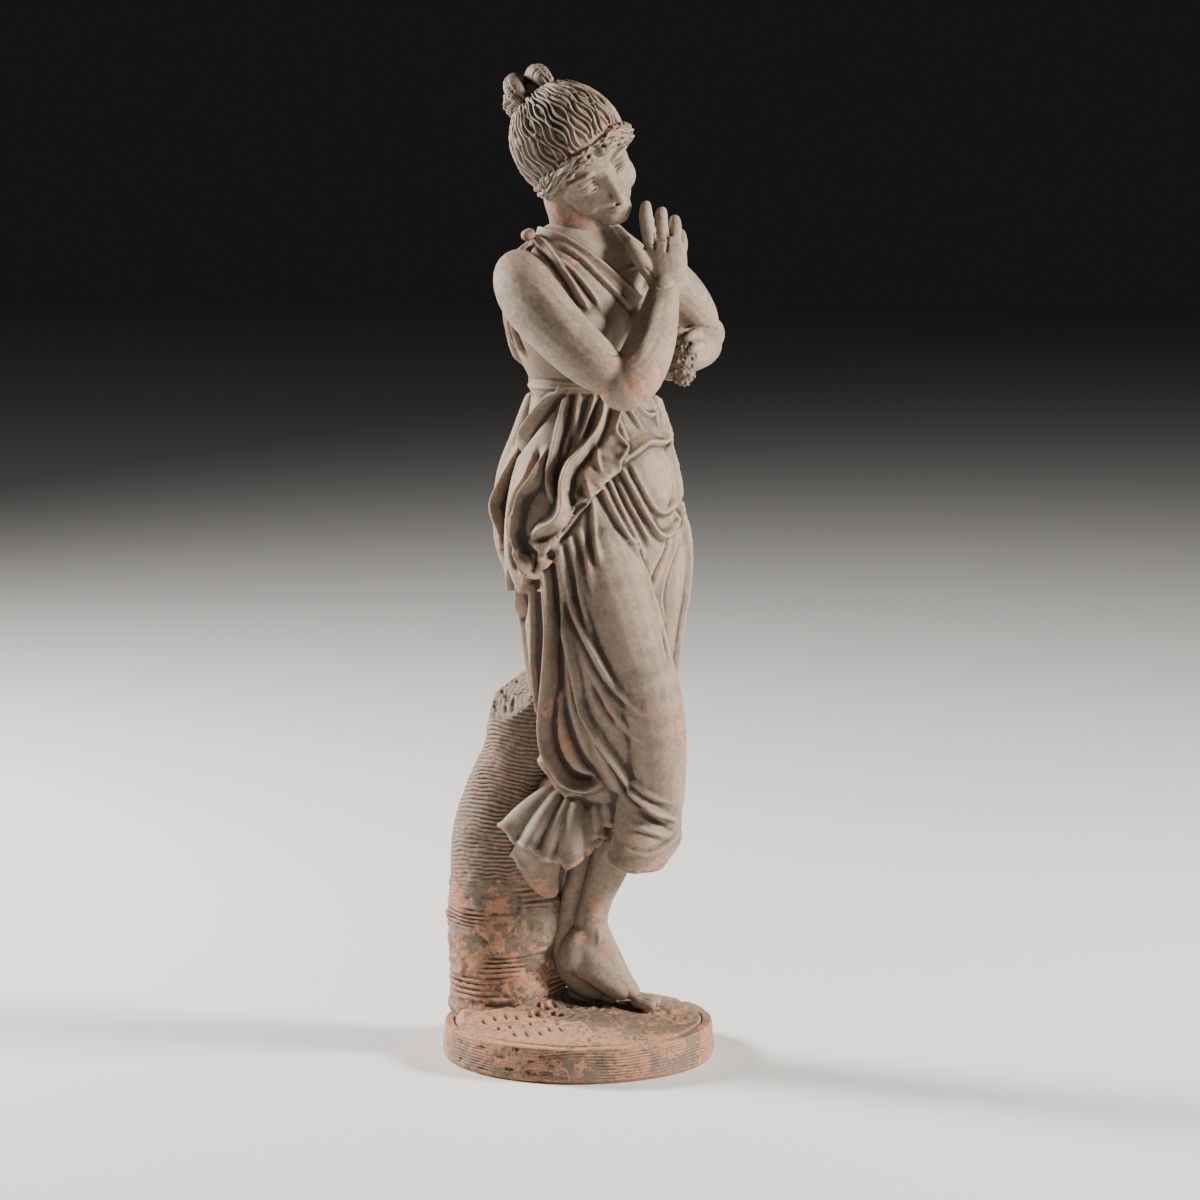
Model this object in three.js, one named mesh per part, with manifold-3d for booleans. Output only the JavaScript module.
// A terracotta figurine of a draped dancer who leans on a tree stump, on a low round base.
// It is one piece of fired clay, so every form is joined into a single solid.
// Millimetres, +Z up, origin at the centre of the base's underside.
// The photographed side faces -Y, and the dancer's chest faces between -Y and +X.
import * as THREE from "three";
import { mergeVertices } from "three/addons/utils/BufferGeometryUtils.js";
import Module from "manifold-3d";

// Driving dimensions
const baseRadius = 104;
const rimHeight = 26;
const groundHeight = 37;
const headTurn = 36; // degrees from the viewer towards +X
const headNod = 24; // forward
const headTilt = 37; // towards her right shoulder
const headSize = 1.06;
const skullCentre = [2, -15, 682];

const wasm = await Module();
wasm.setup();

const radians = THREE.MathUtils.degToRad;
const vector = (p) => new THREE.Vector3(p[0], p[1], p[2]);

// The values at t, 0 to 1, of a list of stations that a smooth curve runs through.
function along(stations, t) {
  const last = stations.length - 1;
  const x = Math.min(Math.max(t, 0), 1) * last;
  const i = Math.min(Math.floor(x), last - 1);
  const f = x - i;
  const p1 = stations[i];
  const p2 = stations[i + 1];
  return p1.map((v1, k) => {
    const v2 = p2[k];
    const v0 = i > 0 ? stations[i - 1][k] : 2 * v1 - v2;
    const v3 = i + 2 <= last ? stations[i + 2][k] : 2 * v2 - v1;
    const m1 = (v2 - v0) / 2;
    const m2 = (v3 - v1) / 2;
    return (
      (2 * v1 - 2 * v2 + m1 + m2) * f ** 3 +
      (3 * v2 - 3 * v1 - 2 * m1 - m2) * f ** 2 +
      m1 * f +
      v1
    );
  });
}

// A ball of clay whose surface is drawn out: place gives the point at an angle and at t from pole to pole.
function clay(sides, rows, place) {
  const ball = new THREE.SphereGeometry(1, sides, rows);
  const { position, uv } = ball.attributes;
  for (let i = 0; i < position.count; i++) {
    const p = place(uv.getX(i) * 2 * Math.PI, 1 - uv.getY(i));
    position.setXYZ(i, p.x, p.y, p.z);
  }
  return solid(ball);
}

function solid(geometry) {
  geometry.deleteAttribute("normal");
  geometry.deleteAttribute("uv");
  const merged = mergeVertices(geometry, 1e-4);
  const vertProperties = merged.attributes.position.array;
  const triVerts = new Uint32Array(merged.index.array);
  const form = new wasm.Manifold(new wasm.Mesh({ numProp: 3, vertProperties, triVerts }));
  if (form.volume() > 0) return form;
  triVerts.reverse();
  return new wasm.Manifold(new wasm.Mesh({ numProp: 3, vertProperties, triVerts }));
}

const endSpacing = 0.6;
const evenOut = (t) => t - (endSpacing * Math.sin(2 * Math.PI * t)) / (2 * Math.PI);
const roundEnds = (t, fullness) => (t > 0 && t < 1 ? Math.sin(Math.PI * t) ** fullness : 0);

// A limb or coil along stations [x, y, z, half-width along hint, half-width across].
function limb(stations, { sides = 9, rows = 8, hint = [0, 0, 1], fullness = 0.22 } = {}) {
  const guide = vector(hint);
  const step = 0.02;
  return clay(sides, rows, (angle, t) => {
    const u = evenOut(t);
    const [x, y, z, a, b] = along(stations, u);
    const ahead = vector(along(stations, Math.min(u + step, 1)));
    const tangent = ahead.sub(vector(along(stations, Math.max(u - step, 0)))).normalize();
    const across = guide.clone().addScaledVector(tangent, -guide.dot(tangent)).normalize();
    const other = across.clone().cross(tangent);
    const r = roundEnds(t, fullness);
    return new THREE.Vector3(x, y, z)
      .addScaledVector(across, r * a * Math.cos(angle))
      .addScaledVector(other, r * b * Math.sin(angle));
  });
}

// A coil of one thickness all round, on points [x, y, z, radius].
const coil = (points, options) =>
  limb(
    points.map(([x, y, z, r]) => [x, y, z, r, r]),
    { sides: 5, rows: 6, hint: [0.3, 0.9, 0.2], ...options },
  );

// An upright form of level sections: [z, centre x, centre y, half-width, half-depth, turn in degrees].
function column(stations, { sides = 32, rows = 16, fullness = 0.12 } = {}) {
  return clay(sides, rows, (angle, t) => {
    const u = evenOut(t);
    const r = roundEnds(t, fullness);
    return sectionPoint(along(stations, u), angle, r, 0);
  });
}

function sectionPoint([z, x, y, a, b, turn], angle, share, lift) {
  const c = Math.cos(radians(turn));
  const s = Math.sin(radians(turn));
  const left = (a * share + lift) * Math.cos(angle);
  const front = (b * share + lift) * Math.sin(angle);
  return new THREE.Vector3(x + c * left + s * front, y + s * left - c * front, z);
}

// A ball of the given half-lengths along three axes at right angles.
function lump(centre, [a, b, c], { sides = 7, rows = 6, axes = [[1, 0, 0], [0, 0, 1]] } = {}) {
  const first = vector(axes[0]);
  const third = vector(axes[1]);
  const second = first.clone().cross(third);
  return clay(sides, rows, (angle, t) => {
    const ring = Math.sin(Math.PI * t);
    return vector(centre)
      .addScaledVector(first, a * ring * Math.cos(angle))
      .addScaledVector(second, b * ring * Math.sin(angle))
      .addScaledVector(third, -c * Math.cos(Math.PI * t));
  });
}

const join = (forms) => forms.reduce((all, form) => all.add(form));

// The round base: a plain edge, a shallow groove inside the rim, and ground that rises to the feet.
function makeBase() {
  const profile = [
    [0, 0],
    [baseRadius - 2, 0],
    [baseRadius, 3],
    [baseRadius - 2, rimHeight],
    [baseRadius - 9, rimHeight],
    [baseRadius - 12, rimHeight - 2],
    [baseRadius - 16, rimHeight + 2],
    [50, groundHeight - 2],
    [0, groundHeight],
  ];
  return clay(36, profile.length - 1, (angle, t) => {
    const [r, z] = profile[Math.round(t * (profile.length - 1))];
    return new THREE.Vector3(r * Math.cos(angle), -r * Math.sin(angle), z);
  });
}

// A big block whose face passes through point, on the side that normal points to.
function sawCut(point, normal) {
  const size = 160;
  const block = new THREE.BoxGeometry(size, size, size);
  block.translate(0, 0, size / 2);
  block.applyQuaternion(
    new THREE.Quaternion().setFromUnitVectors(new THREE.Vector3(0, 0, 1), vector(normal).normalize()),
  );
  block.translate(...point);
  return solid(block);
}

// The leaning stump behind her right hip: flared at the ground, sawn off at a slant in two facets.
const stumpStations = [
  [20, -52, 14, 51, 50, 0],
  [50, -54, 16, 47, 44, 0],
  [90, -54, 18, 47, 40, 0],
  [130, -54, 20, 46, 38, 5],
  [170, -52, 21, 44, 36, 8],
  [205, -47, 22, 39, 33, 10],
  [232, -39, 22, 35, 31, 12],
  [262, -36, 21, 32, 29, 14],
  [300, -33, 20, 29, 28, 14],
  [330, -32, 20, 26, 25, 14],
];
function makeStump() {
  const trunk = column(stumpStations, { sides: 18, rows: 9 });
  return trunk
    .subtract(sawCut([-50, 4, 268], [-0.55, -0.52, 0.66]))
    .subtract(sawCut([-44, 22, 292], [-0.62, 0.1, 0.78]));
}

// The dressed body from the hem to the neck.
const gownStations = [
  [142, 46, -12, 20, 18, 10],
  [170, 48, -13, 31, 25, 15],
  [200, 38, -12, 43, 31, 18],
  [227, 27, -10, 53, 35, 22],
  [257, 22, -8, 55, 38, 26],
  [288, 18, -5, 57, 41, 30],
  [320, 16, -2, 59, 44, 34],
  [350, 15, 0, 62, 47, 38],
  [380, 14, 2, 66, 51, 42],
  [410, 14, 4, 69, 53, 44],
  [440, 14, 6, 66, 52, 44],
  [470, 14, 7, 58, 46, 43],
  [495, 12, 7, 52, 41, 42],
  [515, 9, 6, 49, 39, 41],
  [540, 3, 5, 55, 42, 40],
  [562, 1, 5, 59, 44, 39],
  [585, 1, 6, 60, 42, 38],
  [606, 2, 7, 56, 36, 37],
  [620, 3, 7, 46, 30, 36],
  [634, 4, 7, 32, 24, 35],
];

// The gown's section at a height.
function gownAt(z) {
  let low = 0;
  let high = 1;
  while (high - low > 1e-4) {
    const middle = (low + high) / 2;
    if (along(gownStations, middle)[0] < z) low = middle;
    else high = middle;
  }
  return along(gownStations, low);
}

function makeBody() {
  const upright = { sides: 10, rows: 8, hint: [1, 0, 0] };
  const rightLeg = [
    [0, -18, 436, 30, 30],
    [18, -32, 380, 33, 33],
    [38, -44, 320, 30, 30],
    [53, -50, 276, 26, 25],
    [57, -42, 236, 25, 24],
    [56, -28, 192, 24, 23],
    [50, -16, 152, 20, 19],
  ];
  const leftLeg = [
    [42, 26, 436, 32, 32],
    [50, 20, 380, 33, 33],
    [48, 12, 320, 27, 28],
    [44, 6, 262, 24, 24],
    [30, 0, 200, 24, 24],
  ];
  // the cloth stretched between the legs
  const lapOfCloth = [
    [0, -20, 400, 26, 24],
    [10, -34, 350, 28, 26],
    [24, -42, 300, 28, 26],
    [32, -40, 250, 26, 24],
    [36, -30, 205, 22, 20],
  ];
  return join([
    column(gownStations, { sides: 20, rows: 15, fullness: 0.05 }),
    lump([6, -32, 552], [19, 19, 20]), // breasts under the cloth
    lump([40, -3, 553], [19, 19, 20]),
    lump([34, -10, 440], [37, 36, 44], { sides: 8, rows: 6 }), // belly
    lump([-10, 16, 424], [42, 36, 48], { sides: 8, rows: 6 }), // hip and seat
    limb(rightLeg, upright),
    limb(leftLeg, upright),
    limb(lapOfCloth, { ...upright, sides: 8, rows: 6 }),
  ]);
}

// The tunic's overfold hangs from the girdle: short in front, deep and pleated over her right hip.
// Each pair is [degrees round her from her left side, height of the hem].
const hemOfTunic = [
  [0, 468],
  [42, 470],
  [80, 463],
  [110, 458],
  [125, 446],
  [145, 420],
  [165, 386],
  [182, 358],
  [196, 378],
  [208, 356],
  [224, 384],
  [245, 366],
  [270, 384],
  [300, 372],
  [330, 420],
  [360, 468],
];
function hemHeight(degrees) {
  const i = hemOfTunic.findIndex(([d]) => d >= degrees);
  if (i <= 0) return hemOfTunic[0][1];
  const [d0, z0] = hemOfTunic[i - 1];
  const [d1, z1] = hemOfTunic[i];
  return z0 + ((z1 - z0) * (degrees - d0)) / (d1 - d0);
}
function makeTunic() {
  const girdle = 512;
  return clay(40, 6, (angle, t) => {
    const degrees = THREE.MathUtils.radToDeg(angle) % 360;
    const hem = hemHeight(degrees);
    const share = Math.min(t / 0.66, 1);
    const overHip = Math.exp(-(((degrees - 195) / 55) ** 2));
    const flare = (3 + 9 * overHip) * share;
    if (t === 0 || t === 1) return sectionPoint(gownAt(t ? 400 : girdle), 0, 0, 0);
    const z = hem + (girdle - hem) * (1 - share) ** 1.1;
    if (t > 0.7) return sectionPoint(gownAt(z), angle, 0.6, 0);
    return sectionPoint(gownAt(z), angle, 1, flare);
  });
}

function geometryOf(form) {
  const mesh = form.getMesh();
  const geometry = new THREE.BufferGeometry();
  geometry.setAttribute("position", new THREE.BufferAttribute(mesh.vertProperties, 3));
  geometry.setIndex(new THREE.BufferAttribute(mesh.triVerts, 1));
  geometry.computeVertexNormals();
  return geometry;
}

const gown = join([makeBody(), makeTunic()]);
const cloth = new THREE.Mesh(geometryOf(gown), new THREE.MeshBasicMaterial());
const sight = new THREE.Raycaster();

// The point of the cloth that is seen at [s, z] from the side that is turned by the given degrees.
function onCloth(s, z, turn) {
  const side = new THREE.Vector3(Math.cos(radians(turn)), Math.sin(radians(turn)), 0);
  const ahead = new THREE.Vector3(-side.y, side.x, 0);
  sight.set(side.multiplyScalar(s).addScaledVector(ahead, -300).setZ(z), ahead);
  const hit = sight.intersectObject(cloth)[0];
  return hit ? hit.point : sight.ray.at(300, new THREE.Vector3());
}

// A fold of cloth along [s, z, radius], laid on the gown and sunk into it by a part of its radius.
function fold(route, { turn = 0, sink = 0.25, ...options } = {}) {
  const ahead = new THREE.Vector3(-Math.sin(radians(turn)), Math.cos(radians(turn)), 0);
  const points = route.map(([s, z, r]) => {
    const p = onCloth(s, z, turn).addScaledVector(ahead, r * sink);
    return [p.x, p.y, p.z, r];
  });
  return coil(points, { rows: points.length + 1, hint: ahead.toArray(), ...options });
}

function makeFolds() {
  return join([
    // heavy folds of the overfold down her right hip
    coil([[-34, 22, 506, 7], [-41, 25, 472, 11], [-50, 24, 440, 13], [-53, 15, 404, 12], [-51, 12, 385, 11], [-47, 8, 360, 6]], { sides: 6, rows: 8 }),
    coil([[-12, -22, 490, 6], [-30, -26, 452, 11], [-40, -28, 412, 12], [-37, -28, 380, 8], [-34, -28, 358, 5]], { sides: 6, rows: 7 }),
    fold([[14, 490, 4], [4, 466, 5], [-9, 450, 6], [-12, 424, 6], [-18, 406, 5], [-32, 403, 4]]),
    fold([[0, 500, 3], [-12, 460, 5], [-20, 428, 4]]),
    // the zigzag front edge of the overfold, and its front hem
    fold([[31, 494, 4], [28, 476, 4], [36, 464, 5], [30, 450, 4], [16, 437, 4], [2, 416, 4], [-14, 394, 4], [-30, 370, 4]]),
    fold([[36, 454, 3], [54, 465, 4], [74, 469, 4]]),
    // girdle
    fold([[-36, 512, 4], [-18, 514, 5], [8, 510, 4], [40, 512, 4], [58, 516, 4]]),
    // folds fanned over the belly and the right thigh
    fold([[17, 436, 3], [28, 416, 4], [40, 392, 4], [53, 372, 3]]),
    fold([[30, 442, 3], [40, 424, 4], [46, 404, 4], [53, 388, 3]]),
    fold([[38, 448, 3], [48, 428, 4], [58, 412, 4], [68, 416, 4], [77, 424, 3]]),
    fold([[13, 428, 3], [13, 408, 4], [16, 388, 4], [20, 366, 3]]),
    // long folds down the skirt
    fold([[-40, 356, 5], [-38, 300, 5], [-31, 262, 5], [-24, 232, 5], [-10, 208, 4], [6, 198, 4]], { sink: 0 }),
    fold([[-20, 340, 6], [-22, 300, 7], [-22, 250, 7], [-15, 224, 7], [0, 208, 7], [16, 206, 5]], { sink: 0.1 }),
    fold([[-4, 344, 4], [6, 320, 5], [22, 292, 5], [38, 270, 4], [54, 260, 3]]),
    fold([[-7, 318, 3], [0, 290, 4], [8, 260, 5], [24, 232, 5], [44, 202, 5], [60, 186, 4], [74, 178, 3]]),
    // pleats down the back
    fold([[-30, 352, 5], [-26, 290, 7], [-14, 210, 5]], { turn: 180 }),
    fold([[0, 380, 5], [0, 300, 8], [-8, 200, 5]], { turn: 180 }),
    fold([[30, 380, 5], [24, 310, 7], [4, 220, 5]], { turn: 180 }),
    fold([[14, 500, 4], [10, 450, 7], [12, 400, 8], [16, 372, 5]], { turn: 180 }),
    fold([[-16, 500, 4], [-20, 450, 7], [-22, 400, 7], [-24, 378, 5]], { turn: 180 }),
  ]);
}

// The hem bunched between the stump and the legs: flutes that spread from one gathered place.
const gather = [8, -22, 206];
function makeFrill() {
  const flute = (points) =>
    limb([[...gather, 9, 7], ...points], { sides: 6, rows: 5, hint: [1, 0, 0], fullness: 0.12 });
  return join([
    flute([[-26, -20, 196, 10, 8], [-48, -22, 180, 13, 10], [-55, -26, 162, 12, 12]]),
    flute([[-16, -28, 190, 10, 8], [-34, -34, 168, 11, 10], [-36, -36, 146, 11, 10]]),
    flute([[-6, -32, 186, 10, 8], [-12, -42, 166, 11, 9], [-10, -44, 148, 11, 8]]),
    flute([[8, -32, 188, 9, 8], [12, -42, 176, 10, 9], [12, -40, 164, 9, 8]]),
    flute([[20, -30, 198, 9, 8], [30, -40, 184, 9, 9], [29, -38, 168, 8, 8]]),
    limb(
      [
        [-30, -14, 180, 18, 16],
        [-30, -16, 156, 18, 14],
        [-26, -16, 138, 13, 10],
        [-18, -16, 124, 6, 6],
      ],
      { sides: 8, rows: 5, hint: [1, 0, 0] },
    ),
    limb([[-6, -8, 218, 26, 18], [-4, -14, 186, 28, 17], [4, -14, 160, 20, 13]], {
      rows: 5,
      hint: [1, 0, 0],
    }),
  ]);
}

// Bare shins and feet, crossed at the ankles; the right foot stands on its toes.
function makeFeet() {
  const shin = { rows: 7, hint: [0, 1, 0] };
  const toe = (points) => coil(points, { rows: 4, hint: [0, 0, 1] });
  return join([
    limb([[32, -8, 172, 17, 17], [20, -3, 142, 15, 16], [14, 2, 118, 11.5, 12], [12, 4, 100, 10.5, 11], [15, 4, 84, 12, 13]], shin),
    limb([[2, 14, 88, 8, 9], [8, 9, 80, 13, 15], [20, 4, 66, 14, 17], [34, -2, 53, 14, 13], [49, -7, 42, 13, 7]], shin),
    toe([[43, -15, 42, 6], [54, -18, 42, 5.6], [64, -20, 39, 4.5]]),
    toe([[46, -6, 43, 7], [58, -7, 41, 6], [65, -8, 39, 4.5]]),
    limb([[8, 4, 172, 12, 12], [0, -1, 144, 9, 9], [-7, -6, 116, 7.4, 7.4], [-13, -9, 94, 6.8, 7], [-17, -9, 76, 8, 8.5]], shin),
    limb([[-23, -5, 74, 7, 7], [-17, -9, 69, 9, 9.5], [-4, -13, 58, 9.5, 9.5], [10, -17, 49, 9.5, 8], [20, -21, 43, 8, 6]], shin),
    toe([[12, -23, 45, 5], [21, -26, 43, 5], [29, -27, 40, 4]]),
  ]);
}

// Bare arms: the right hand is raised beside the chin, the left is set on the hip.
function makeArms() {
  const arm = { sides: 8, rows: 6 };
  const finger = (points) => coil(points, { rows: 4, hint: [1, 0, 0] });
  return join([
    limb([[-40, -8, 606, 16, 17], [-42, -24, 596, 22, 23], [-34, -40, 578, 24, 23], [-10, -58, 552, 22, 22], [14, -70, 532, 20, 20], [36, -76, 515, 16, 16]], { ...arm, rows: 8, fullness: 0.35 }),
    lump([33, -76, 517], [15, 14, 15]),
    limb([[28, -74, 514, 13, 14], [44, -73, 522, 18, 18], [53, -58, 544, 18, 18], [60, -40, 566, 15, 15], [64, -26, 584, 14, 12], [65, -22, 594, 15, 11]], arm),
    limb([[64, -25, 580, 12, 9], [65, -22, 596, 16, 10], [64, -19, 611, 17, 9], [62, -18, 623, 15, 7]], { sides: 7, rows: 5, hint: [1, 0, 0] }),
    finger([[54, -20, 614, 6], [51, -20, 631, 6.2], [51, -14, 649, 5]]),
    finger([[62, -17, 616, 6], [62, -17, 634, 6.2], [63, -9, 648, 5]]),
    finger([[70, -14, 612, 6], [72, -13, 628, 6], [72, -4, 641, 5]]),
    finger([[74, -12, 602, 5.6], [77, -6, 616, 5.6], [76, 5, 627, 4.6]]),
    finger([[57, -22, 594, 8], [47, -25, 606, 7], [36, -21, 620, 5.2]]),
    lump([46, 34, 602], [19, 19, 19]),
    limb([[48, 32, 602, 18, 18], [70, 52, 584, 19, 19], [88, 70, 564, 18, 18], [100, 85, 546, 14, 15]], arm),
    lump([98, 84, 546], [15, 15, 15]),
    limb([[102, 88, 545, 12, 12], [95, 74, 539, 17, 17], [86, 50, 535, 16, 17], [78, 32, 531, 13, 14], [71, 16, 526, 11, 12], [66, 6, 520, 10, 11]], arm),
    lump([76, 22, 538], [10, 11, 16]), // flowers held in the left hand
  ]);
}

// Neckline: a clasp on the right shoulder, a strap on the left, and folds between them.
function makeNeckline() {
  return join([
    lump([-36, -22, 624], [8, 8, 7]),
    fold([[-36, 624, 4], [-20, 612, 4], [-6, 594, 5], [6, 574, 4]]),
    fold([[-28, 626, 4], [0, 614, 4], [22, 598, 5], [42, 580, 4]]),
    fold([[24, 628, 3], [38, 616, 3], [48, 600, 3], [52, 584, 3]]),
    fold([[-44, 610, 4], [-52, 575, 5], [-42, 535, 4]], { turn: -30 }),
  ]);
}

// The head's own directions: face ahead, crown up, and her left.
const headAxes = (() => {
  const flat = new THREE.Vector3(Math.sin(radians(headTurn)), -Math.cos(radians(headTurn)), 0);
  const side = new THREE.Vector3(Math.cos(radians(headTurn)), Math.sin(radians(headTurn)), 0);
  const up = new THREE.Vector3(0, 0, 1);
  const nod = radians(headNod);
  const tilt = radians(headTilt);
  const face = flat.clone().multiplyScalar(Math.cos(nod)).addScaledVector(up, -Math.sin(nod));
  const rise = up.clone().multiplyScalar(Math.cos(nod)).addScaledVector(flat, Math.sin(nod));
  const crown = rise.clone().multiplyScalar(Math.cos(tilt)).addScaledVector(side, -Math.sin(tilt));
  const left = side.clone().multiplyScalar(Math.cos(tilt)).addScaledVector(rise, Math.sin(tilt));
  return { face, crown, left };
})();
const inHead = ([f, l, u]) =>
  vector(skullCentre)
    .addScaledVector(headAxes.face, f * headSize)
    .addScaledVector(headAxes.left, l * headSize)
    .addScaledVector(headAxes.crown, u * headSize)
    .toArray();

function makeHead() {
  const axes = [headAxes.face.toArray(), headAxes.crown.toArray()];
  const ball = (centre, size, options) =>
    lump(inHead(centre), size.map((half) => half * headSize), { axes, ...options });
  const strand = (points, options) =>
    coil(
      points.map(([f, l, u, r]) => [...inHead([f, l, u]), r * headSize]),
      { rows: 4, hint: axes[0], ...options },
    );
  return join([
    limb([[6, 12, 596, 30, 30], [4, 8, 618, 25, 25], [-2, -3, 650, 22, 22], [...skullCentre, 22, 24]], {
      sides: 10,
      rows: 5,
      hint: [1, 0, 0],
    }),
    ball([11, 0, -9], [31, 30, 40], { sides: 10, rows: 8 }), // face
    ball([27, 0, -41], [10, 12, 9]), // chin
    strand([[36, 0, 2, 3], [42, 0, -8, 4], [44, 0, -16, 5.5], [38, 0, -19, 4]]), // nose
    ball([33, 0, 7], [6, 25, 5]), // brow
    // hair swept back from the brow, in waves
    ball([-10, 0, 10], [44, 38, 42], { sides: 12, rows: 8 }),
    ...[-1, 1].flatMap((side) => [
      strand([[33, 6 * side, 24, 5], [20, 20 * side, 34, 8], [-6, 24 * side, 40, 6]]),
      strand([[32, 18 * side, 16, 5], [20, 31 * side, 20, 8], [-6, 36 * side, 25, 6]]),
      strand([[28, 28 * side, 4, 5], [12, 37 * side, 4, 8], [-14, 38 * side, 10, 6]]),
      strand([[16, 33 * side, -14, 5], [0, 37 * side, -17, 9], [-22, 30 * side, -13, 8]]),
    ]),
    // knot of hair at the back of the crown
    strand([[-28, 0, 28, 14], [-42, 0, 32, 12], [-52, 0, 34, 10]]),
    strand([[-34, -9, 40, 5], [-42, -11, 46, 7], [-55, -5, 44, 7.5], [-58, 3, 36, 6]], { rows: 6 }),
    strand([[-32, 9, 41, 5], [-41, 11, 46, 7], [-52, 11, 42, 7.5], [-57, 8, 33, 6]], { rows: 6 }),
    strand([[-42, -13, 28, 6], [-56, -10, 28, 7.5], [-61, 0, 31, 7], [-50, 12, 30, 6]], { rows: 6 }),
  ]);
}

const figurine = new THREE.Mesh(
  geometryOf(
    join([makeBase(), makeStump(), gown, makeFolds(), makeFrill(), makeFeet(), makeArms(), makeNeckline(), makeHead()]),
  ),
  new THREE.MeshStandardMaterial({ color: 0x9a7f6c, roughness: 0.9, metalness: 0 }),
);
figurine.name = "dancer_figurine";
const part = new THREE.Group();
part.add(figurine);

export default part;
